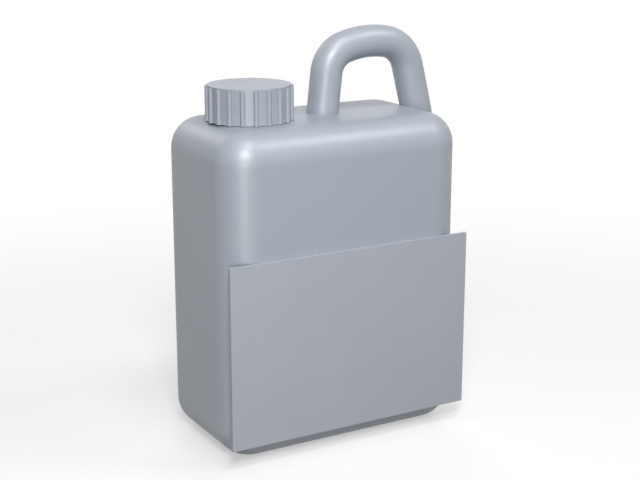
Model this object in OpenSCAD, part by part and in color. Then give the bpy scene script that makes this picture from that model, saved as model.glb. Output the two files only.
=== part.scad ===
// Free-standing jug with a screw cap, an arched hollow handle and a flat label panel.
// Millimetres, +Z up. The origin is the middle of the base, on the surface the jug stands on.
// +X points from the cap towards the handle, and the label panel is on the -Y side.

/* [Body] */
// Width of the body, from the cap's side to the handle's side
body_w = 190; // [180:1:240]
// Depth of the body, from the label side to the back
body_d = 110; // [96:1:160]
// Height of the body to its flat top
body_h = 232.6; // [190:0.1:320]
// Wall thickness of the blown body, its neck and its handle
wall = 1.5; // [1:0.1:2.5]
// Radius of the four upright corners
corner_r = 24.5; // [23.5:0.5:30]
// Radius of the edge all round the top
shoulder_r = 22.5; // [14:0.5:23]
// Radius of the edge all round the base
foot_r = 23; // [14:0.5:23.4]

/* [Base] */
// Width of the rim that the body stands on, around the raised middle of the base
standing_rim = 8; // [5:0.5:12]
// Height that the middle of the base is raised
base_lift = 3; // [2:0.5:6]
// Radius of the raised area's upper edge
base_edge_r = 2.5; // [1:0.5:3]
// Corner radius of the raised area
base_corner_r = 12; // [8:1:16]
// Width of the pinch line that the mould leaves across the base
pinch_w = 2; // [1:0.5:4]
// Height of the pinch line below the raised area
pinch_h = 0.8; // [0.4:0.2:1.2]

/* [Handle] */
// Outer diameter of the handle's tube
handle_d = 23; // [18:0.5:26]
// Distance from the middle of the body to the inner leg, where it meets the body's top
inner_leg_x = 7.3; // [2:0.1:20]
// Lean of the inner leg from upright, in degrees, where it meets the body's top
inner_lean = 5.7; // [0:0.1:12]
// Straight length of the inner leg above the body's top
inner_leg_h = 28.6; // [20:0.2:45]
// Centreline radius of the bend at the top of the inner leg
inner_bend_r = 20.5; // [17:0.1:30]
// Centreline radius of the crown between the two bends
crown_r = 75.5; // [50:0.5:120]
// Angle that the crown turns through, in degrees
crown_angle = 26.5; // [16:0.5:32]
// Centreline radius of the bend at the top of the outer leg
outer_bend_r = 24.7; // [18:0.1:30]
// Lean of the outer leg from upright, in degrees, at its top
outer_lean = 14.8; // [8:0.2:18]
// Radius of the slight outward bow of both legs
leg_bow_r = 2000; // [600:100:3000]
// Centreline radius of the bend that takes the outer leg into the side wall
root_bend_r = 22; // [18:0.5:30]
// Angle from upright at which the outer leg enters the body, in degrees
root_lean = 50; // [40:1:60]
// Height above the body's top at which the outer leg starts to bend in
root_start_h = -4; // [-8:0.5:0]

/* [Neck and cap] */
// Distance from the cap's axis to the body's end wall on the cap's side
cap_inset = 44.15; // [40:0.5:52]
// Outer diameter of the cap between its ribs
cap_d = 58.5; // [50:0.5:60]
// Height of the cap
cap_h = 24.7; // [20:0.1:32]
// Thickness of the cap's skirt and top
cap_wall = 2; // [1.5:0.1:3]
// Number of grip ribs round the cap
rib_count = 20; // [12:1:28]
// Width of each grip rib
rib_w = 2.8; // [1.5:0.1:4]
// Distance that each grip rib stands out from the skirt
rib_proud = 1.8; // [0.8:0.1:2.5]
// Distance from the top of a grip rib to the top of the cap
rib_drop = 1; // [0.5:0.1:3]
// Gap between the cap's lower edge and the body's top
cap_gap = 0.3; // [0.2:0.1:1]
// Thickness of the sealing disc inside the cap
liner_t = 1.5; // [1:0.1:2]
// Clearance between the sealing disc's edge and the cap's skirt
liner_gap = 0.3; // [0.2:0.1:0.6]

/* [Screw thread] */
// Rise of the cap in one turn
thread_pitch = 5; // [4.6:0.1:5.6]
// Turns of thread on the neck, and again inside the cap
thread_turns = 2.2; // [1.2:0.1:2.4]
// Distance that a thread stands out from its wall
thread_depth = 1.5; // [1:0.1:1.8]
// Width of a thread where it leaves its wall
thread_base_w = 2.8; // [2.2:0.1:3]
// Width of a thread at its crest
thread_crest_w = 1.4; // [1:0.1:1.8]
// Height of the neck's thread above the body's top, at its lower end
thread_start = 4; // [3:0.1:5]
// Angle over which each end of a thread grows to its full depth
thread_run_in = 30; // [15:5:60]
// Clearance between a thread's crest and the wall that faces it
thread_gap = 0.7; // [0.5:0.1:1]

/* [Label panel] */
// Width of the label panel
panel_w = 192; // [120:1:230]
// Height of the label panel
panel_h = 131; // [80:1:160]
// Thickness of the label panel
panel_t = 2.5; // [0.8:0.1:3]
// Height of the label panel's lower edge above the base
panel_z = 14.7; // [5:0.1:40]

/* [Hidden] */
$fn = 96;
// Step of a thread's rings, and the depth that a thread is rooted in its wall
thread_step = 10;
thread_root = 0.4;
SHELL_GREY = "#a9adb6";
CAP_GREY = "#b4b8c1";
PANEL_GREY = "#a2a7b0";
LINER_WHITE = "#dfe1e4";
// Extra length of a cut that runs past a face
over = 1;
// Height of the cap's underside, of its inner top and of the rim it seals on
cap_z = body_h + cap_gap;
cap_ceiling_z = cap_z + cap_h - cap_wall;
rim_z = cap_ceiling_z - liner_t;
// The cap's axis, and the radii of its inside and of the neck
cap_x = cap_inset - body_w / 2;
cap_inner_r = cap_d / 2 - cap_wall;
neck_r = cap_inner_r - thread_depth - thread_gap;
neck_bore_r = neck_r - wall;
// Depth below the body's top at which the neck and the inner leg start
sunk = wall * 3;
// The raised area of the base, inside the standing rim
lift_w = body_w - 2 * (foot_r + standing_rim);
lift_d = body_d - 2 * (foot_r + standing_rim);

// Upright section of a rounded box, with one radius at its top edge and one at its base
module box_section(w, h, top_r, base_r) {
    translate([-w / 2, base_r]) square([w, h - top_r - base_r]);
    translate([top_r - w / 2, h - 2 * top_r]) square([w - 2 * top_r, 2 * top_r]);
    translate([base_r - w / 2, 0]) square([w - 2 * base_r, 2 * base_r]);
    for (side = [-1, 1]) {
        translate([side * (w / 2 - top_r), h - top_r]) circle(r = top_r);
        translate([side * (w / 2 - base_r), base_r]) circle(r = base_r);
    }
}

// Box that stands on z = 0, rounded on its upright corners and on its top and base edges
module rounded_box(w, d, h, upright_r, top_r, base_r) {
    rotate([90, 0, 90]) linear_extrude(height = w - 2 * upright_r, center = true)
        box_section(d, h, top_r, base_r);
    rotate([90, 0, 0]) linear_extrude(height = d - 2 * upright_r, center = true)
        box_section(w, h, top_r, base_r);
    for (turn = [0 : 3]) {
        across = turn % 2 == 0 ? [w, d] : [d, w];
        rotate([0, 0, 90 * turn])
            translate([across[0] / 2 - upright_r, across[1] / 2 - upright_r, 0])
                rotate_extrude(angle = 90) intersection() {
                    box_section(2 * upright_r, h, top_r, base_r);
                    square([upright_r, h]);
                }
    }
}

// Where an arc that starts at a point with a heading ends. Points are [x, z], a heading is the angle from
// upright towards +X, and an arc is [centreline radius, angle that it turns through].
function arc_end(point, heading, arc) = point
    + arc[0] * [cos(heading) - cos(heading + arc[1]), sin(heading + arc[1]) - sin(heading)];

// Moves its children by whole millimetres, then by thousandths, then by the rest, which keeps every digit
// of a long move, so that lengths of tube meet face to face
module move_finely(v) {
    whole = [for (x = v) round(x)];
    thousandths = [for (x = v - whole) round(x * 1000) / 1000];
    translate(whole) translate(thousandths) translate(v - whole - thousandths) children();
}

// Round tube along a chain of arcs in the XZ plane, which all turn the same way
module tube_chain(r, point, heading, arcs, i = 0) {
    if (i < len(arcs)) {
        bend_r = arcs[i][0];
        angle = arcs[i][1];
        move_finely([point[0] + bend_r * cos(heading), 0, point[1] - bend_r * sin(heading)])
            rotate([90, 0, 0])
                rotate_extrude(angle = angle, start = 180 - heading - angle)
                    translate([bend_r, 0]) circle(r = r);
        tube_chain(r, arc_end(point, heading, arcs[i]), heading + angle, arcs, i + 1);
    }
}

// An angle to a thousandth of a degree
function fine(angle) = round(angle * 1000) / 1000;

// The handle's centreline starts below the body's top at its inner leg
handle_start = [inner_leg_x, body_h - sunk];
inner_leg = [leg_bow_r, fine((inner_leg_h + sunk) / leg_bow_r * 180 / PI)];
// The two bends share what the legs' leans and the crown leave of a half turn
bend_angle = fine((180 - inner_lean - inner_leg[1] - crown_angle - outer_lean) / 2);
over_the_top = [inner_leg, [inner_bend_r, bend_angle], [crown_r, crown_angle], [outer_bend_r, bend_angle]];
// Where the outer leg starts, and its heading there
after_inner_leg = arc_end(handle_start, inner_lean, inner_leg);
crown_heading = inner_lean + inner_leg[1] + bend_angle;
after_inner_bend = arc_end(after_inner_leg, inner_lean + inner_leg[1], over_the_top[1]);
after_crown = arc_end(after_inner_bend, crown_heading, over_the_top[2]);
outer_leg_start = arc_end(after_crown, crown_heading + crown_angle, over_the_top[3]);
outer_heading = crown_heading + crown_angle + bend_angle;
// The outer leg comes down to the height where its root starts, and the root turns into the body
root_drop = outer_leg_start[1] - body_h - root_start_h;
root_heading = fine(180 - asin(sin(outer_heading) - root_drop / leg_bow_r));
outer_leg = [leg_bow_r, root_heading - outer_heading];
root = [root_bend_r, fine(180 + root_lean - root_heading)];
handle_arcs = concat(over_the_top, [outer_leg, root]);

// The handle's whole run as a solid of tube radius r, from below the body's top to inside its side wall
module handle_run(r) {
    tube_chain(r, handle_start, inner_lean, handle_arcs);
}

// Share of a thread's full depth at an angle along it
function thread_share(angle, total) =
    max(0, min(1, angle / thread_run_in, (total - angle) / thread_run_in));

// One ring of a thread, as [radius, height] points from its lower root to its upper root
function thread_ring(wall_r, outwards, share) = let (
        depth = thread_depth * share,
        slope = (thread_base_w - thread_crest_w) / 2 / thread_depth,
        half_root = thread_base_w / 2 + slope * thread_root,
        half_crest = half_root - slope * (thread_root + depth))
    [
        [wall_r - outwards * thread_root, -half_root],
        [wall_r + outwards * depth, -half_crest],
        [wall_r + outwards * depth, half_crest],
        [wall_r - outwards * thread_root, half_root]
    ];

// Right-handed thread on a round wall, rising from z = 0. It stands outwards (1) or inwards (-1).
module screw_thread(wall_r, outwards) {
    total = 360 * thread_turns;
    steps = ceil(total / thread_step);
    angles = [for (i = [0 : steps]) total * i / steps];
    points = [for (a = angles, p = thread_ring(wall_r, outwards, thread_share(a, total)))
        [p[0] * cos(a), p[0] * sin(a), p[1] + thread_pitch * a / 360]];
    sides = [for (i = [0 : steps - 1], k = [0 : 3]) let (n = (k + 1) % 4)
        each [[4 * i + k, 4 * i + 4 + n, 4 * i + 4 + k], [4 * i + k, 4 * i + n, 4 * i + 4 + n]]];
    last = 4 * steps;
    ends = [[0, 2, 1], [0, 3, 2], [last, last + 1, last + 2], [last, last + 2, last + 3]];
    faces = concat(sides, ends);
    polyhedron(points, outwards > 0 ? faces : [for (f = faces) [f[0], f[2], f[1]]]);
}

// Everything inside the outer skin: the body, the neck and the handle's tube
module jug_outside() {
    rounded_box(body_w, body_d, body_h, corner_r, shoulder_r, foot_r);
    translate([cap_x, 0, body_h - sunk]) cylinder(r = neck_r, h = rim_z - body_h + sunk);
    handle_run(handle_d / 2);
}

// The hollow that the liquid fills, through the neck and the handle
module jug_inside() {
    difference() {
        translate([0, 0, wall])
            rounded_box(body_w - 2 * wall, body_d - 2 * wall, body_h - 2 * wall,
                corner_r - wall, shoulder_r - wall, foot_r - wall);
        base_rise(wall);
    }
    translate([cap_x, 0, body_h - sunk]) cylinder(r = neck_bore_r, h = rim_z - body_h + sunk + over);
    handle_run(handle_d / 2 - wall);
}

// The raised middle of the base, grown by a thickness on its top and sides. Its lower edge is cut away.
module base_rise(grown) {
    translate([0, 0, -over])
        rounded_box(lift_w + 2 * grown, lift_d + 2 * grown, base_lift + over + grown,
            base_corner_r + grown, base_edge_r + grown, over);
}

// The line where the mould pinches the parison shut, across the raised middle of the base
module pinch_line() {
    translate([-lift_w / 2, -pinch_w / 2, base_lift - pinch_h]) cube([lift_w, pinch_w, pinch_h + wall / 2]);
}

module jug_body() {
    color(SHELL_GREY) {
        difference() {
            jug_outside();
            jug_inside();
            base_rise(0);
        }
        pinch_line();
        translate([cap_x, 0, body_h + thread_start]) screw_thread(neck_r, 1);
    }
}

module cap() {
    color(CAP_GREY) {
        translate([cap_x, 0, cap_z]) difference() {
            union() {
                cylinder(d = cap_d, h = cap_h);
                for (i = [0 : rib_count - 1]) rotate([0, 0, 360 / rib_count * i])
                    translate([0, -rib_w / 2, 0])
                        cube([cap_d / 2 + rib_proud, rib_w, cap_h - rib_drop]);
            }
            translate([0, 0, -over]) cylinder(r = cap_inner_r, h = cap_h - cap_wall + over);
        }
        // The cap's thread runs midway between the turns of the neck's
        translate([cap_x, 0, body_h + thread_start + thread_pitch / 2]) screw_thread(cap_inner_r, -1);
    }
}

module cap_liner() {
    color(LINER_WHITE) translate([cap_x, 0, rim_z]) cylinder(r = cap_inner_r - liner_gap, h = liner_t);
}

module label_panel() {
    color(PANEL_GREY) translate([-panel_w / 2, -body_d / 2 - panel_t, panel_z])
        cube([panel_w, panel_t, panel_h]);
}

jug_body();
cap();
cap_liner();
label_panel();
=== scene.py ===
"""Looks of the fluid jug: its blown body, screw cap, sealing disc and label panel, on a pale studio floor.

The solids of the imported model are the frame. The meshes here stand in the same places, in metres.
"""

import logging
import math
from collections.abc import Iterable, Sequence
from dataclasses import dataclass, field
from enum import Enum

import bmesh
import bpy
from mathutils import Matrix, Vector


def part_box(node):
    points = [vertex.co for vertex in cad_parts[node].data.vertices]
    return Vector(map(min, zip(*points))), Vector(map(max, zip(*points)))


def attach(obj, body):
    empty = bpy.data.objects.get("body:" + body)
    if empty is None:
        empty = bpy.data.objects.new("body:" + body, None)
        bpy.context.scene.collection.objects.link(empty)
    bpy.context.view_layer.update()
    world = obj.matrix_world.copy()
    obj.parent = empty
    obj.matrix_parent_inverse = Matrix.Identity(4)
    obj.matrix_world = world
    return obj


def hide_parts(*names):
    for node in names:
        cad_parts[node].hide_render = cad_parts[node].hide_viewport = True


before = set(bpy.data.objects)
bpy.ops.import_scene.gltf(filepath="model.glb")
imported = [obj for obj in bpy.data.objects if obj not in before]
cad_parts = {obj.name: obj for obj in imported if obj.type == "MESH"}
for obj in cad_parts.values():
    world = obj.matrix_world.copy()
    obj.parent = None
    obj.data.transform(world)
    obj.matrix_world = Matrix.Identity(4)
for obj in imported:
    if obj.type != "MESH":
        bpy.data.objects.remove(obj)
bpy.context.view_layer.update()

log = logging.getLogger("jug")

MM = 0.001
FULL_TURN = 360.0
# An edge sharper than this stays crisp when the faces round it are shaded smooth.
CRISP_ANGLE = math.radians(32)
# A cutter runs this far past the face it cuts, in millimetres.
OVER = 1.0
# Points closer than this, in millimetres, are one point.
WELD_MM = 0.004
# Segments of an eased edge, and how far a large flat face outweighs a small one in the shading.
EASE_SEGMENTS = 2
FLAT_FACE_WEIGHT = 60
WHITE = (1.0, 1.0, 1.0, 1.0)


class Join(Enum):
    """How two closed meshes are combined."""

    UNION = "UNION"
    CUT = "DIFFERENCE"


class Facing(Enum):
    """Which way a thread stands off its wall."""

    OUTWARDS = 1
    INWARDS = -1


def linear(hex_colour: str) -> tuple[float, float, float, float]:
    """Turns an sRGB hex colour into linear light.

    Args:
        hex_colour: A colour such as "#a2a7b0".

    Returns:
        Linear red, green, blue and an alpha of 1.
    """
    values = [int(hex_colour[i : i + 2], 16) / 255 for i in (1, 3, 5)]
    red, green, blue = [
        v / 12.92 if v <= 0.04045 else ((v + 0.055) / 1.055) ** 2.4 for v in values
    ]
    return red, green, blue, 1.0


def add_node(
    tree: bpy.types.NodeTree,
    kind: str,
    settings: dict[str, object] | None = None,
    inputs: dict[str | int, object] | None = None,
) -> bpy.types.Node:
    """Adds a shader node, sets its properties and fills its sockets.

    Args:
        tree: The node tree that the node goes into.
        kind: The node's type name, such as "ShaderNodeBump".
        settings: Property names and values of the node itself.
        inputs: Socket names or numbers, each with a value or with the output socket that feeds it.

    Returns:
        The new node.
    """
    node = tree.nodes.new(kind)
    for name, value in (settings or {}).items():
        setattr(node, name, value)
    for name, value in (inputs or {}).items():
        if isinstance(value, bpy.types.NodeSocket):
            tree.links.new(value, node.inputs[name])
        else:
            node.inputs[name].default_value = value
    return node


def per_metre(size_mm: float) -> float:
    """A texture scale whose features repeat about every size_mm millimetres."""
    return 1 / (size_mm * MM)


@dataclass(frozen=True)
class MouldedPlastic:
    """A pigmented thermoplastic with the skin that its mould gives it.

    The colour wanders a little between two near shades, as pigment does in a melt. The skin has a fine
    waviness that breaks up the edge of a highlight, and its gloss varies slowly where the melt cooled
    unevenly. A rolled or drawn skin is stretched: its features are that many times longer along X, Y and Z.
    """

    name: str
    colour: str
    deeper: str
    roughness: float
    ior: float
    shade_mm: float
    skin_mm: float
    skin_depth_mm: float
    gloss_swing: float
    stretch: tuple[float, float, float] = (1.0, 1.0, 1.0)
    shade_detail: float = 3.0
    shade_grit: float = 0.55
    skin_detail: float = 2.0
    skin_grit: float = 0.5
    usual_shade: tuple[float, float] = (0.3, 0.7)

    def build(self) -> bpy.types.Material:
        """Builds the material.

        Returns:
            The new material.
        """
        material = bpy.data.materials.new(self.name)
        material.use_nodes = True
        tree = material.node_tree
        tree.nodes.clear()
        place = add_node(tree, "ShaderNodeTexCoord").outputs["Object"]
        clouds = add_node(
            tree,
            "ShaderNodeTexNoise",
            inputs={
                "Vector": place,
                "Scale": per_metre(self.shade_mm),
                "Detail": self.shade_detail,
                "Roughness": self.shade_grit,
            },
        ).outputs["Fac"]
        pigment = add_node(
            tree,
            "ShaderNodeMix",
            settings={"data_type": "RGBA"},
            inputs={0: clouds, 6: linear(self.colour), 7: linear(self.deeper)},
        ).outputs[2]
        gloss = add_node(
            tree,
            "ShaderNodeMapRange",
            inputs={
                "Value": clouds,
                "From Min": self.usual_shade[0],
                "From Max": self.usual_shade[1],
                "To Min": self.roughness - self.gloss_swing,
                "To Max": self.roughness + self.gloss_swing,
            },
        ).outputs["Result"]
        along = add_node(
            tree,
            "ShaderNodeMapping",
            inputs={"Vector": place, "Scale": tuple(1 / length for length in self.stretch)},
        ).outputs["Vector"]
        skin = add_node(
            tree,
            "ShaderNodeTexNoise",
            inputs={
                "Vector": along,
                "Scale": per_metre(self.skin_mm),
                "Detail": self.skin_detail,
                "Roughness": self.skin_grit,
            },
        ).outputs["Fac"]
        relief = add_node(
            tree,
            "ShaderNodeBump",
            inputs={"Strength": 1.0, "Distance": self.skin_depth_mm * MM, "Height": skin},
        ).outputs["Normal"]
        surface = add_node(
            tree,
            "ShaderNodeBsdfPrincipled",
            inputs={
                "Base Color": pigment,
                "Roughness": gloss,
                "IOR": self.ior,
                "Normal": relief,
            },
        )
        add_node(tree, "ShaderNodeOutputMaterial", inputs={"Surface": surface.outputs[0]})
        return material


@dataclass(frozen=True)
class FoamedSheet:
    """Closed-cell polyethylene foam, cut from sheet: a dull skin pitted by its cells, with painted shade in
    the pits.
    """

    name: str
    colour: str
    # The colour at the middle of each cell: painted shade in the pit, darker than the foam.
    pit_shade_colour: str
    roughness: float
    cell_mm: float
    cell_depth_mm: float

    def build(self) -> bpy.types.Material:
        """Builds the material.

        Returns:
            The new material.
        """
        material = bpy.data.materials.new(self.name)
        material.use_nodes = True
        tree = material.node_tree
        tree.nodes.clear()
        place = add_node(tree, "ShaderNodeTexCoord").outputs["Object"]
        cells = add_node(
            tree,
            "ShaderNodeTexVoronoi",
            inputs={"Vector": place, "Scale": per_metre(self.cell_mm)},
        ).outputs["Distance"]
        # Each cell goes from the darker colour at its middle to the foam's colour: painted shade in the
        # cell's hollow.
        shade = add_node(tree, "ShaderNodeValToRGB", inputs={"Fac": cells})
        shade.color_ramp.elements[0].color = linear(self.pit_shade_colour)
        shade.color_ramp.elements[1].color = linear(self.colour)
        relief = add_node(
            tree,
            "ShaderNodeBump",
            inputs={"Strength": 1.0, "Distance": self.cell_depth_mm * MM, "Height": cells},
        ).outputs["Normal"]
        surface = add_node(
            tree,
            "ShaderNodeBsdfPrincipled",
            inputs={
                "Base Color": shade.outputs["Color"],
                "Roughness": self.roughness,
                "Normal": relief,
            },
        )
        add_node(tree, "ShaderNodeOutputMaterial", inputs={"Surface": surface.outputs[0]})
        return material


# High-density polyethylene, extrusion blow-moulded in a sandblasted mould: a satin skin with a broad soft
# highlight and a faint orange peel. The peel is drawn at 3 mm, coarser than life, so that it shows. The
# resin's own IOR is 1.54. It is raised to match the strong soft highlights on the jug's rounded edges.
BLOWN_HDPE = MouldedPlastic(
    name="blown_hdpe_blue_grey",
    colour="#989ea8",
    deeper="#939aa4",
    roughness=0.42,
    ior=1.9,
    shade_mm=70,
    skin_mm=3.0,
    skin_depth_mm=0.03,
    gloss_swing=0.03,
)
# Polypropylene, injection-moulded in a polished mould: a little paler and glossier than the body, with a
# finer skin. Its features are drawn at 1.8 mm, coarser than life, so that they show. The resin's own IOR is
# 1.49, raised a little with the body's so that the two read as one set.
MOULDED_PP = MouldedPlastic(
    name="moulded_pp_blue_grey",
    colour="#9aa0aa",
    deeper="#959ba5",
    roughness=0.38,
    ior=1.6,
    shade_mm=25,
    skin_mm=1.8,
    skin_depth_mm=0.014,
    gloss_swing=0.03,
)
# Polystyrene plate, cut from rolled sheet with a matt face: nearly no highlight, and faint lines along the
# roll. The lines are drawn 1.5 mm apart, coarser than life, so that they show.
ROLLED_PLATE = MouldedPlastic(
    name="rolled_polystyrene_grey",
    colour="#a5aab3",
    deeper="#9fa4ad",
    roughness=0.55,
    ior=1.59,
    shade_mm=60,
    skin_mm=1.5,
    skin_depth_mm=0.02,
    gloss_swing=0.03,
    stretch=(14.0, 1.0, 1.0),
)
# Polyethylene foam, die-cut from sheet: an off-white, quite dull disc whose pits are darkened by painted
# shade. Its cells are drawn at 1 mm, coarser than life, so that they show.
LINER_FOAM = FoamedSheet(
    name="foamed_pe_off_white",
    colour="#e4e6e9",
    pit_shade_colour="#c3c6cb",
    roughness=0.75,
    cell_mm=1.0,
    cell_depth_mm=0.08,
)


def closed_mesh(name: str, points: Sequence[Vector], faces: Iterable[Sequence[int]]) -> bpy.types.Object:
    """Makes a mesh object from points in millimetres, with its faces turned outwards.

    Args:
        name: The object's name.
        points: The vertices, in millimetres in the jug's frame.
        faces: The faces, as vertex numbers.

    Returns:
        The new object, linked into the scene.
    """
    mesh = bpy.data.meshes.new(name)
    mesh.from_pydata([p * MM for p in points], [], [list(f) for f in faces])
    shape = bmesh.new()
    shape.from_mesh(mesh)
    bmesh.ops.recalc_face_normals(shape, faces=shape.faces[:])
    shape.to_mesh(mesh)
    shape.free()
    piece = bpy.data.objects.new(name, mesh)
    bpy.context.scene.collection.objects.link(piece)
    return piece


def loft(name: str, rings: Sequence[Sequence[Vector]]) -> bpy.types.Object:
    """Makes a closed mesh through rings that have the same number of points each.

    Args:
        name: The object's name.
        rings: The rings in order, in millimetres. The first and the last are filled.

    Returns:
        The new object.
    """
    size = len(rings[0])
    points = [p for ring in rings for p in ring]
    last = len(rings) - 1
    faces: list[tuple[int, ...]] = []
    for i in range(last):
        low, high = i * size, (i + 1) * size
        for k in range(size):
            n = (k + 1) % size
            faces.append((low + k, low + n, high + n, high + k))
    faces.append(tuple(reversed(range(size))))
    faces.append(tuple(range(last * size, last * size + size)))
    return closed_mesh(name, points, faces)


def lathe(
    name: str, profile: Sequence[tuple[float, float]], centre: Vector, sides: int
) -> bpy.types.Object:
    """Turns an outline about an upright axis, with flat ends.

    Args:
        name: The object's name.
        profile: Points of radius and height from one end to the other, in millimetres.
        centre: A point of the axis, in millimetres. Heights count from it.
        sides: The number of steps round the axis.

    Returns:
        The new object.
    """
    rings = []
    for radius, height in profile:
        rings.append(
            [
                centre + Vector((radius * math.cos(a), radius * math.sin(a), height))
                for a in (2 * math.pi * k / sides for k in range(sides))
            ]
        )
    return loft(name, rings)


def combine(base: bpy.types.Object, other: bpy.types.Object, how: Join) -> bpy.types.Object:
    """Combines another closed mesh into a base, and removes the other.

    Args:
        base: The object that is changed.
        other: The object that is joined to it or cut from it.
        how: Whether to join or to cut.

    Returns:
        The base.
    """
    step = base.modifiers.new(how.name, "BOOLEAN")
    step.operation = how.value
    step.solver = "EXACT"
    step.object = other
    bake_modifiers(base)
    bpy.data.objects.remove(other)
    return base


def bake_modifiers(piece: bpy.types.Object) -> None:
    """Replaces a piece's mesh by what its modifiers make of it.

    Args:
        piece: The object whose modifiers are applied.
    """
    graph = bpy.context.evaluated_depsgraph_get()
    graph.update()
    made = bpy.data.meshes.new_from_object(piece.evaluated_get(graph))
    piece.modifiers.clear()
    piece.data = made


def clean(piece: bpy.types.Object) -> None:
    """Welds points that a cut left within a few micrometres of each other, and drops empty faces.

    Args:
        piece: The object whose mesh is cleaned.
    """
    shape = bmesh.new()
    shape.from_mesh(piece.data)
    bmesh.ops.remove_doubles(shape, verts=shape.verts[:], dist=WELD_MM * MM)
    bmesh.ops.dissolve_degenerate(shape, dist=WELD_MM * MM, edges=shape.edges[:])
    shape.to_mesh(piece.data)
    shape.free()


def shade(piece: bpy.types.Object) -> None:
    """Shades a piece smooth, with crisp edges where its faces turn sharply and flat faces kept flat.

    Args:
        piece: The object that is shaded.
    """
    mesh = piece.data
    mesh.polygons.foreach_set("use_smooth", [True] * len(mesh.polygons))
    mesh.set_sharp_from_angle(angle=CRISP_ANGLE)
    weights = piece.modifiers.new("flat_faces_stay_flat", "WEIGHTED_NORMAL")
    weights.keep_sharp = True
    weights.weight = FLAT_FACE_WEIGHT


def ease_edges(piece: bpy.types.Object, width_mm: float) -> None:
    """Rounds a piece's crisp edges.

    Args:
        piece: The object whose edges are eased.
        width_mm: The width of the rounding, in millimetres.
    """
    ease = piece.modifiers.new("eased_edges", "BEVEL")
    ease.width = width_mm * MM
    ease.segments = EASE_SEGMENTS
    ease.limit_method = "ANGLE"
    ease.angle_limit = CRISP_ANGLE
    bake_modifiers(piece)


def finish_piece(
    piece: bpy.types.Object, finish: bpy.types.Material, body: str, node: str
) -> None:
    """Gives a piece its material, its body and the solid that it stands for.

    Args:
        piece: The piece.
        finish: Its material.
        body: The moving body that it rides on.
        node: The solid that it replaces.
    """
    piece.data.materials.clear()
    piece.data.materials.append(finish)
    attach(piece, body)
    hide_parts(node)
    log.info("%s stands for %s, with %d faces", piece.name, node, len(piece.data.polygons))


@dataclass(frozen=True)
class RoundedBox:
    """A box on its base, rounded on its upright corners and on its top and base edges, in millimetres."""

    width: float
    depth: float
    height: float
    upright_r: float
    top_r: float
    base_r: float
    bottom_z: float = 0.0
    steps: int = 16

    def outline(self, inset: float, z: float) -> list[Vector]:
        """One level's outline.

        Args:
            inset: How far the outline is drawn in from the full width and depth.
            z: The level's height.

        Returns:
            The points of a rounded rectangle.
        """
        radius = self.upright_r - inset
        points = []
        for corner, (sx, sy) in enumerate(((1, 1), (-1, 1), (-1, -1), (1, -1))):
            x = sx * (self.width / 2 - self.upright_r)
            y = sy * (self.depth / 2 - self.upright_r)
            for k in range(self.steps + 1):
                a = math.pi / 2 * (corner + k / self.steps)
                points.append(Vector((x + radius * math.cos(a), y + radius * math.sin(a), z)))
        return points

    def levels(self) -> list[tuple[float, float]]:
        """The levels of the box.

        Returns:
            The inset and the height of each level, from the base to the top.
        """
        found = []
        top = self.bottom_z + self.height
        for k in range(self.steps + 1):
            a = math.pi / 2 * k / self.steps
            found.append((self.base_r * (1 - math.sin(a)), self.bottom_z + self.base_r * (1 - math.cos(a))))
        for k in range(self.steps + 1):
            a = math.pi / 2 * k / self.steps
            found.append((self.top_r * (1 - math.cos(a)), top - self.top_r * (1 - math.sin(a))))
        return found

    def build(self, name: str) -> bpy.types.Object:
        """Builds the box as one closed mesh."""
        return loft(name, [self.outline(inset, z) for inset, z in self.levels()])

    def grown(self, amount: float) -> "RoundedBox":
        """The same box with every face moved.

        Args:
            amount: How far the faces move outwards, or inwards where it is negative.

        Returns:
            The larger or smaller box.
        """
        return RoundedBox(
            width=self.width + 2 * amount,
            depth=self.depth + 2 * amount,
            height=self.height + 2 * amount,
            upright_r=self.upright_r + amount,
            top_r=self.top_r + amount,
            base_r=self.base_r + amount,
            bottom_z=self.bottom_z - amount,
            steps=self.steps,
        )


@dataclass(frozen=True)
class Arc:
    """One arc of a tube's centreline. It turns clockwise, seen from the front."""

    radius: float
    turn: float


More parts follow.
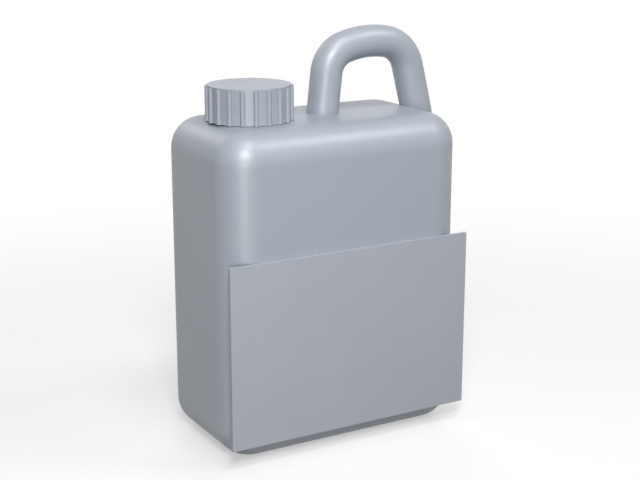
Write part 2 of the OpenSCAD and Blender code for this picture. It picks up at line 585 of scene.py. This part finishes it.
@dataclass(frozen=True)
class HandleTube:
    """The arched handle: two legs, a bend on each, a crown between them and a root in the side wall.

    Lengths are in millimetres and angles in degrees. A heading is the angle from upright towards +X.
    """

    body_height: float
    sunk: float = 4.5
    tube_r: float = 11.5
    inner_leg_x: float = 7.3
    inner_lean: float = 5.7
    inner_leg_h: float = 28.6
    inner_bend_r: float = 20.5
    crown_r: float = 75.5
    crown_angle: float = 26.5
    outer_bend_r: float = 24.7
    outer_lean: float = 14.8
    leg_bow_r: float = 2000.0
    root_bend_r: float = 22.0
    root_lean: float = 50.0
    root_start_h: float = -4.0
    sides: int = 72
    step: float = 2.5
    fewest_steps: int = 3

    def after(self, point: Vector, heading: float, arc: Arc) -> Vector:
        """Where an arc ends.

        Args:
            point: Where it starts.
            heading: Its heading there.
            arc: The arc.

        Returns:
            Its end.
        """
        start, end = math.radians(heading), math.radians(heading + arc.turn)
        across = arc.radius * (math.cos(start) - math.cos(end))
        return point + Vector((across, 0, arc.radius * (math.sin(end) - math.sin(start))))

    def start(self) -> Vector:
        """Where the centreline starts, below the body's top."""
        return Vector((self.inner_leg_x, 0, self.body_height - self.sunk))

    def arcs(self) -> list[Arc]:
        """The centreline from the inner leg's foot to the end of the root.

        Returns:
            The arcs in order, each of which goes on in the heading of the one before.
        """
        inner_leg = Arc(self.leg_bow_r, math.degrees((self.inner_leg_h + self.sunk) / self.leg_bow_r))
        left = 180 - self.inner_lean - inner_leg.turn - self.crown_angle - self.outer_lean
        found = [
            inner_leg,
            Arc(self.inner_bend_r, left / 2),
            Arc(self.crown_r, self.crown_angle),
            Arc(self.outer_bend_r, left / 2),
        ]
        point, heading = self.start(), self.inner_lean
        for arc in found:
            point = self.after(point, heading, arc)
            heading += arc.turn
        drop = point.z - self.body_height - self.root_start_h
        lowest = math.sin(math.radians(heading)) - drop / self.leg_bow_r
        root_heading = 180 - math.degrees(math.asin(lowest))
        return [
            *found,
            Arc(self.leg_bow_r, root_heading - heading),
            Arc(self.root_bend_r, 180 + self.root_lean - root_heading),
        ]

    def ring(self, centre: Vector, heading: float, radius: float) -> list[Vector]:
        """One ring of the tube, square to its heading.

        Args:
            centre: The ring's middle.
            heading: The centreline's heading there.
            radius: The ring's radius.

        Returns:
            The points of the ring.
        """
        a = math.radians(heading)
        outwards = Vector((-math.cos(a), 0, math.sin(a)))
        return [
            centre + radius * (math.cos(t) * outwards + math.sin(t) * Vector((0, 1, 0)))
            for t in (2 * math.pi * k / self.sides for k in range(self.sides))
        ]

    def build(self, name: str, radius: float) -> bpy.types.Object:
        """Builds the tube.

        Args:
            name: The object's name.
            radius: The tube's radius.

        Returns:
            The tube as one closed mesh.
        """
        point, heading = self.start(), self.inner_lean
        rings = [self.ring(point, heading, radius)]
        for arc in self.arcs():
            count = max(self.fewest_steps, math.ceil(arc.turn / self.step))
            for k in range(1, count + 1):
                part = Arc(arc.radius, arc.turn * k / count)
                rings.append(self.ring(self.after(point, heading, part), heading + part.turn, radius))
            point = self.after(point, heading, arc)
            heading += arc.turn
        return loft(name, rings)


@dataclass(frozen=True)
class Thread:
    """A right-handed screw thread on a round wall, with a rounded crest and ends that grow from nothing.

    Lengths are in millimetres and angles in degrees. The last three values are shares: the width of a run-in
    where it starts, and where the crest's corners are cut off, across the flank and up the depth.
    """

    pitch: float = 5.0
    turns: float = 2.2
    depth: float = 1.5
    base_w: float = 2.8
    crest_w: float = 1.4
    root: float = 0.4
    run_in: float = 30.0
    step: float = 5.0
    end_width: float = 0.55
    crest_ease: float = 0.35
    ease_depth: float = 0.86

    def share(self, angle: float) -> float:
        """The share of the full depth at an angle along the thread, in degrees."""
        total = FULL_TURN * self.turns
        return max(0.0, min(1.0, angle / self.run_in, (total - angle) / self.run_in))

    def section(self, share: float) -> list[tuple[float, float]]:
        """The thread's section, narrowest at its ends.

        Args:
            share: The share of the full depth.

        Returns:
            Points of distance from the wall and height.
        """
        depth = self.depth * share
        width = self.end_width + (1 - self.end_width) * share
        half_base = self.base_w / 2 * width
        half_crest = self.crest_w / 2 * width
        ease = self.crest_ease * (half_base - half_crest)
        half_root = half_base + (half_base - half_crest) * self.root / self.depth
        upper = [
            (self.ease_depth * depth, half_crest + ease),
            (0.0, half_base),
            (-self.root, half_root),
        ]
        lower = [(out, -height) for out, height in reversed(upper)]
        return [*lower, (depth, -half_crest + ease), (depth, half_crest - ease), *upper]

    def build(
        self, name: str, axis: Vector, wall_r: float, start_z: float, facing: Facing
    ) -> bpy.types.Object:
        """Builds the thread.

        Args:
            name: The object's name.
            axis: A point of the axis, in millimetres.
            wall_r: The radius of the wall that it stands on.
            start_z: The height of its lower end.
            facing: Whether it stands outwards or inwards.

        Returns:
            The thread as a closed mesh, rooted in the wall.
        """
        total = FULL_TURN * self.turns
        count = math.ceil(total / self.step)
        rings = []
        for i in range(count + 1):
            angle = total * i / count
            a = math.radians(angle)
            rings.append(
                [
                    Vector(
                        (
                            axis.x + (wall_r + facing.value * out) * math.cos(a),
                            axis.y + (wall_r + facing.value * out) * math.sin(a),
                            start_z + height + self.pitch * angle / FULL_TURN,
                        )
                    )
                    for out, height in self.section(self.share(angle))
                ]
            )
        return loft(name, rings)


@dataclass(frozen=True)
class Neck:
    """The neck that the cap screws onto. Lengths are in millimetres."""

    axis: Vector
    body_height: float
    rim_z: float
    outer_r: float
    wall: float
    sunk: float = 4.5
    rim_round: float = 0.5
    rim_steps: int = 4
    thread_start: float = 4.0
    sides: int = 96

    def build(self) -> bpy.types.Object:
        """Builds the solid neck with its rim's outer edge rounded.

        Returns:
            The neck as a closed mesh.
        """
        arc = [math.pi / 2 * k / self.rim_steps for k in range(self.rim_steps + 1)]
        profile = [(self.outer_r, self.body_height - self.sunk)]
        profile += [
            (
                self.outer_r - self.rim_round * (1 - math.cos(a)),
                self.rim_z - self.rim_round * (1 - math.sin(a)),
            )
            for a in arc
        ]
        return lathe("neck", profile, Vector((self.axis.x, self.axis.y, 0)), self.sides)

    def bore(self) -> bpy.types.Object:
        """Builds the solid that the bore takes away.

        Returns:
            The bore as a closed mesh.
        """
        radius = self.outer_r - self.wall
        profile = [(radius, self.body_height - self.sunk), (radius, self.rim_z + OVER)]
        return lathe("bore", profile, Vector((self.axis.x, self.axis.y, 0)), self.sides)


@dataclass
class JugBody:
    """The blown body with its neck, thread and hollow handle, all of one moulding, in millimetres."""

    corner_r: float = 24.5
    shoulder_r: float = 22.5
    foot_r: float = 23.0
    wall: float = 1.5
    standing_rim: float = 8.0
    base_lift: float = 3.0
    base_edge_r: float = 2.5
    base_corner_r: float = 12.0
    base_steps: int = 6
    pinch_w: float = 2.0
    pinch_h: float = 0.8
    width: float = 190.0
    depth: float = 110.0
    height: float = 232.6
    neck_r: float = 25.05
    rim_z: float = 254.1
    thread: Thread = field(default_factory=Thread)

    def outside(self) -> RoundedBox:
        """The body's outer form."""
        return RoundedBox(self.width, self.depth, self.height, self.corner_r, self.shoulder_r, self.foot_r)

    def base_rise(self) -> RoundedBox:
        """The raised middle of the base.

        Returns:
            A block that fills it, whose lower part lies below the floor.
        """
        inset = 2 * (self.foot_r + self.standing_rim)
        return RoundedBox(
            width=self.width - inset,
            depth=self.depth - inset,
            height=self.base_lift + OVER,
            upright_r=self.base_corner_r,
            top_r=self.base_edge_r,
            base_r=OVER,
            bottom_z=-OVER,
            steps=self.base_steps,
        )

    def build(self, axis: Vector) -> bpy.types.Object:
        """Builds the hollow moulding.

        Args:
            axis: A point of the cap's axis, in millimetres.

        Returns:
            The finished shell.
        """
        tube = HandleTube(self.height)
        neck = Neck(axis, self.height, self.rim_z, self.neck_r, self.wall)
        hollow = combine(self.outside().grown(-self.wall).build("hollow"), self.raised_floor(), Join.CUT)
        combine(hollow, neck.bore(), Join.UNION)
        combine(hollow, tube.build("tube_bore", tube.tube_r - self.wall), Join.UNION)
        shell = combine(self.outside().build("jug_shell"), tube.build("tube", tube.tube_r), Join.UNION)
        combine(shell, neck.build(), Join.UNION)
        start_z = self.height + neck.thread_start
        thread = self.thread.build("neck_thread", axis, self.neck_r, start_z, Facing.OUTWARDS)
        combine(shell, thread, Join.UNION)
        combine(shell, hollow, Join.CUT)
        combine(shell, self.base_rise().build("rise"), Join.CUT)
        combine(shell, self.pinch_line(), Join.UNION)
        clean(shell)
        shade(shell)
        return shell

    def raised_floor(self) -> bpy.types.Object:
        """The block that the hollow stands clear of, one wall above the raised base."""
        return self.base_rise().grown(self.wall).build("raised_floor")

    def pinch_line(self) -> bpy.types.Object:
        """Builds the low ridge under the base, where the mould pinched the molten tube shut.

        Returns:
            The ridge as a closed mesh.
        """
        rise = self.base_rise()
        half_l, half_w = rise.width / 2, self.pinch_w / 2
        low, high = self.base_lift - self.pinch_h, self.base_lift + self.wall / 2
        crest = half_w / 2
        outline = [(-crest, low), (crest, low), (half_w, low + self.pinch_h / 2), (half_w, high)]
        outline += [(-half_w, high), (-half_w, low + self.pinch_h / 2)]
        return loft("pinch", [[Vector((x, y, z)) for y, z in outline] for x in (-half_l, half_l)])


@dataclass
class ScrewCap:
    """The screw cap: a skirt with half-round grip ribs, a flat top and a thread inside, in millimetres."""

    radius: float = 29.25
    height: float = 24.7
    wall: float = 2.0
    ribs: int = 20
    rib_w: float = 3.5
    rib_proud: float = 1.8
    rib_drop: float = 1.0
    rib_steps: int = 12
    edge: float = 0.22
    thread_above_body: float = 6.5
    sides: int = 120
    thread: Thread = field(default_factory=Thread)

    def rib_section(self) -> list[tuple[float, float]]:
        """A rib's section: a half-round on the skirt, with its root inside the wall.

        Returns:
            Points of distance from the cap's axis and distance sideways.
        """
        root, half_w = self.radius - self.wall / 2, self.rib_w / 2
        turns = [math.pi * (k / self.rib_steps - 0.5) for k in range(self.rib_steps + 1)]
        crest = [(self.radius + self.rib_proud * math.cos(a), half_w * math.sin(a)) for a in turns]
        return [(root, -half_w), *crest, (root, half_w)]

    def ribs_mesh(self, centre: Vector) -> bpy.types.Object:
        """Builds all the grip ribs.

        Args:
            centre: The middle of the cap's lower edge, in millimetres.

        Returns:
            One mesh of separate bars, each rooted in the skirt.
        """
        points: list[Vector] = []
        faces: list[tuple[int, ...]] = []
        section = self.rib_section()
        size = len(section)
        around = [(k, (k + 1) % size, size + (k + 1) % size, size + k) for k in range(size)]
        ends = [tuple(reversed(range(size))), tuple(range(size, 2 * size))]
        for i in range(self.ribs):
            turn = Matrix.Rotation(2 * math.pi * i / self.ribs, 3, "Z")
            first = len(points)
            for z in (0.0, self.height - self.rib_drop):
                points += [centre + turn @ Vector((out, side, z)) for out, side in section]
            faces += [tuple(first + k for k in face) for face in (*ends, *around)]
        return closed_mesh("ribs", points, faces)

    def build(self, centre: Vector, body_height: float) -> bpy.types.Object:
        """Builds the cap.

        Args:
            centre: The middle of the cap's lower edge, in millimetres.
            body_height: The height of the body's top.

        Returns:
            The finished cap.
        """
        solid = [(self.radius, 0.0), (self.radius, self.height)]
        cap = lathe("screw_cap", solid, centre, self.sides)
        combine(cap, self.ribs_mesh(centre), Join.UNION)
        inner_r = self.radius - self.wall
        inside = [(inner_r, -OVER), (inner_r, self.height - self.wall)]
        combine(cap, lathe("inside", inside, centre, self.sides), Join.CUT)
        clean(cap)
        ease_edges(cap, self.edge)
        start_z = body_height + self.thread_above_body
        thread = self.thread.build("cap_thread", centre, inner_r, start_z, Facing.INWARDS)
        combine(cap, thread, Join.UNION)
        clean(cap)
        shade(cap)
        return cap


@dataclass
class LabelPanel:
    """The flat bare plate on the jug's front, where a label goes, in millimetres."""

    edge: float = 0.25

    def build(self, low: Vector, high: Vector) -> bpy.types.Object:
        """Builds the plate with its edges eased.

        Args:
            low: Its lowest corner, in millimetres.
            high: Its highest corner, in millimetres.

        Returns:
            The finished plate.
        """
        corners = [(low.x, low.y), (high.x, low.y), (high.x, high.y), (low.x, high.y)]
        plate = loft("label_plate", [[Vector((x, y, z)) for x, y in corners] for z in (low.z, high.z)])
        ease_edges(plate, self.edge)
        shade(plate)
        return plate


@dataclass(frozen=True)
class SoftLamp:
    """A lamp behind a flat diffuser, which looks at the jug. Angles in degrees, lengths in metres.

    One that doesn't shine gives soft light alone, with no glare where a face mirrors it.
    """

    name: str
    azimuth: float
    elevation: float
    distance: float
    width: float
    height: float
    watts: float
    shines: bool = True

    def build(self, target: Vector) -> None:
        """Hangs the lamp.

        Args:
            target: The point that it looks at, in metres.
        """
        a, e = math.radians(self.azimuth), math.radians(self.elevation)
        away = Vector((math.sin(a) * math.cos(e), -math.cos(a) * math.cos(e), math.sin(e)))
        data = bpy.data.lights.new(self.name, "AREA")
        data.shape = "RECTANGLE"
        data.size = self.width
        data.size_y = self.height
        data.energy = self.watts
        lamp = bpy.data.objects.new(self.name, data)
        lamp.location = target + away * self.distance
        lamp.rotation_euler = (-away).to_track_quat("-Z", "Y").to_euler()
        lamp.visible_camera = False
        lamp.visible_glossy = self.shines
        bpy.context.scene.collection.objects.link(lamp)


@dataclass
class Studio:
    """The pale floor, the white surroundings, the lamps and the camera. Lengths are in metres.

    The key and the low fill give the bright bands on the edges that face the camera. The edge and top lamps
    draw the shoulders and the handle, and the two at the back light the sides that the camera doesn't see.
    """

    floor_half: float = 20.0
    floor_colour: str = "#f4f4f4"
    floor_bounce: str = "#666666"
    floor_glow: float = 0.45
    floor_near: float = 0.2
    floor_far: float = 0.8
    ambient: float = 0.08
    camera_place: tuple[float, float, float] = (-0.4669, -0.8171, 0.3918)
    camera_target: tuple[float, float, float] = (0.0218, 0.0277, 0.1299)
    camera_roll: float = 0.05
    lens: float = 74.95
    sensor: float = 36.0
    nearest: float = 0.05
    farthest: float = 100.0
    lamps_target: tuple[float, float, float] = (0.0, 0.0, 0.13)
    lamps: tuple[SoftLamp, ...] = (
        SoftLamp("key", azimuth=-28, elevation=38, distance=1.4, width=0.35, height=0.4, watts=12.6),
        SoftLamp("low_fill", azimuth=-32, elevation=3, distance=1.2, width=0.3, height=0.25, watts=3.4),
        SoftLamp("edge_light", azimuth=50, elevation=52, distance=1.4, width=0.35, height=0.35, watts=3.6),
        SoftLamp("top_light", azimuth=-8, elevation=68, distance=1.4, width=0.4, height=0.4, watts=5.5),
        SoftLamp("rim_light", azimuth=194, elevation=30, distance=1.6, width=0.5, height=0.4, watts=1.6),
        SoftLamp(
            "back_light",
            azimuth=152,
            elevation=16,
            distance=1.8,
            width=1.1,
            height=0.7,
            watts=16.0,
            shines=False,
        ),
    )

    def build(self) -> None:
        """Builds the whole studio."""
        self.build_floor()
        self.build_world()
        for lamp in self.lamps:
            lamp.build(Vector(self.lamps_target))
        self.build_camera()
        bpy.context.scene.view_settings.view_transform = "Standard"

    def seen_directly(self, tree: bpy.types.NodeTree) -> bpy.types.NodeSocket:
        """A factor that is 1 where the camera, a reflection or a refraction looks.

        Args:
            tree: The node tree that its nodes go into.

        Returns:
            The factor's socket.
        """
        path = add_node(tree, "ShaderNodeLightPath").outputs
        first = add_node(
            tree,
            "ShaderNodeMath",
            settings={"operation": "MAXIMUM"},
            inputs={0: path["Is Camera Ray"], 1: path["Is Glossy Ray"]},
        ).outputs[0]
        return add_node(
            tree,
            "ShaderNodeMath",
            settings={"operation": "MAXIMUM"},
            inputs={0: first, 1: path["Is Transmission Ray"]},
        ).outputs[0]

    def build_floor(self) -> None:
        """Lays the floor: pale to the eye and white farther out, and quieter in the light it throws up."""
        h = self.floor_half
        mesh = bpy.data.meshes.new("floor")
        mesh.from_pydata([(-h, -h, 0), (h, -h, 0), (h, h, 0), (-h, h, 0)], [], [(0, 1, 2, 3)])
        floor = bpy.data.objects.new("floor", mesh)
        bpy.context.scene.collection.objects.link(floor)
        material = bpy.data.materials.new("painted_floor")
        material.use_nodes = True
        tree = material.node_tree
        tree.nodes.clear()
        seen = self.seen_directly(tree)
        colour = add_node(
            tree,
            "ShaderNodeMix",
            settings={"data_type": "RGBA"},
            inputs={0: seen, 6: linear(self.floor_bounce), 7: linear(self.floor_colour)},
        ).outputs[2]
        paint = add_node(tree, "ShaderNodeBsdfDiffuse", inputs={"Color": colour})
        place = add_node(tree, "ShaderNodeTexCoord").outputs["Object"]
        reach = add_node(
            tree, "ShaderNodeVectorMath", settings={"operation": "LENGTH"}, inputs={0: place}
        ).outputs["Value"]
        far = add_node(
            tree,
            "ShaderNodeMapRange",
            settings={"interpolation_type": "SMOOTHSTEP"},
            inputs={
                "Value": reach,
                "From Min": self.floor_near,
                "From Max": self.floor_far,
                "To Min": self.floor_glow,
            },
        ).outputs["Result"]
        share = add_node(
            tree, "ShaderNodeMath", settings={"operation": "MULTIPLY"}, inputs={0: seen, 1: far}
        ).outputs[0]
        white = add_node(tree, "ShaderNodeEmission", inputs={"Color": WHITE, "Strength": 1.0})
        surface = add_node(
            tree, "ShaderNodeMixShader", inputs={0: share, 1: paint.outputs[0], 2: white.outputs[0]}
        )
        add_node(tree, "ShaderNodeOutputMaterial", inputs={"Surface": surface.outputs[0]})
        mesh.materials.append(material)

    def build_world(self) -> None:
        """Makes the surroundings white to the eye and in reflections, and a soft grey light elsewhere."""
        world = bpy.data.worlds.new("studio")
        bpy.context.scene.world = world
        world.use_nodes = True
        tree = world.node_tree
        tree.nodes.clear()
        white = add_node(tree, "ShaderNodeBackground", inputs={"Color": WHITE, "Strength": 1.0})
        soft = add_node(tree, "ShaderNodeBackground", inputs={"Color": WHITE, "Strength": self.ambient})
        mix = add_node(
            tree,
            "ShaderNodeMixShader",
            inputs={0: self.seen_directly(tree), 1: soft.outputs[0], 2: white.outputs[0]},
        )
        add_node(tree, "ShaderNodeOutputWorld", inputs={"Surface": mix.outputs[0]})

    def build_camera(self) -> None:
        """Places the camera at the photograph's viewpoint."""
        data = bpy.data.cameras.new("camera")
        data.sensor_width = self.sensor
        data.lens = self.lens
        data.clip_start = self.nearest
        data.clip_end = self.farthest
        camera = bpy.data.objects.new("camera", data)
        place, target = Vector(self.camera_place), Vector(self.camera_target)
        look = (target - place).to_track_quat("-Z", "Y")
        roll = Matrix.Rotation(math.radians(self.camera_roll), 4, "Z")
        camera.matrix_world = Matrix.Translation(place) @ look.to_matrix().to_4x4() @ roll
        bpy.context.scene.collection.objects.link(camera)
        bpy.context.scene.camera = camera


def millimetres(node: str) -> tuple[Vector, Vector]:
    """The lowest and the highest corner of a solid, in millimetres."""
    low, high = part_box(node)
    return low / MM, high / MM


def main() -> None:
    """Builds the studio and each piece of the jug."""
    logging.basicConfig(level=logging.INFO, format="%(name)s: %(message)s")
    Studio().build()
    cap_low, cap_high = millimetres("cap")
    cap_centre = Vector(((cap_low.x + cap_high.x) / 2, (cap_low.y + cap_high.y) / 2, cap_low.z))
    body = JugBody()
    finish_piece(body.build(cap_centre), BLOWN_HDPE.build(), "jug", "jug_body")
    cap = ScrewCap().build(cap_centre, body.height)
    finish_piece(cap, MOULDED_PP.build(), "cap", "cap")
    plate = LabelPanel().build(*millimetres("label_panel"))
    finish_piece(plate, ROLLED_PLATE.build(), "jug", "label_panel")
    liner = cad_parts["cap_liner"]
    liner.data.materials.clear()
    liner.data.materials.append(LINER_FOAM.build())
    log.info("cap_liner keeps its solid, with %s", LINER_FOAM.name)


if __name__ == "__main__":
    main()
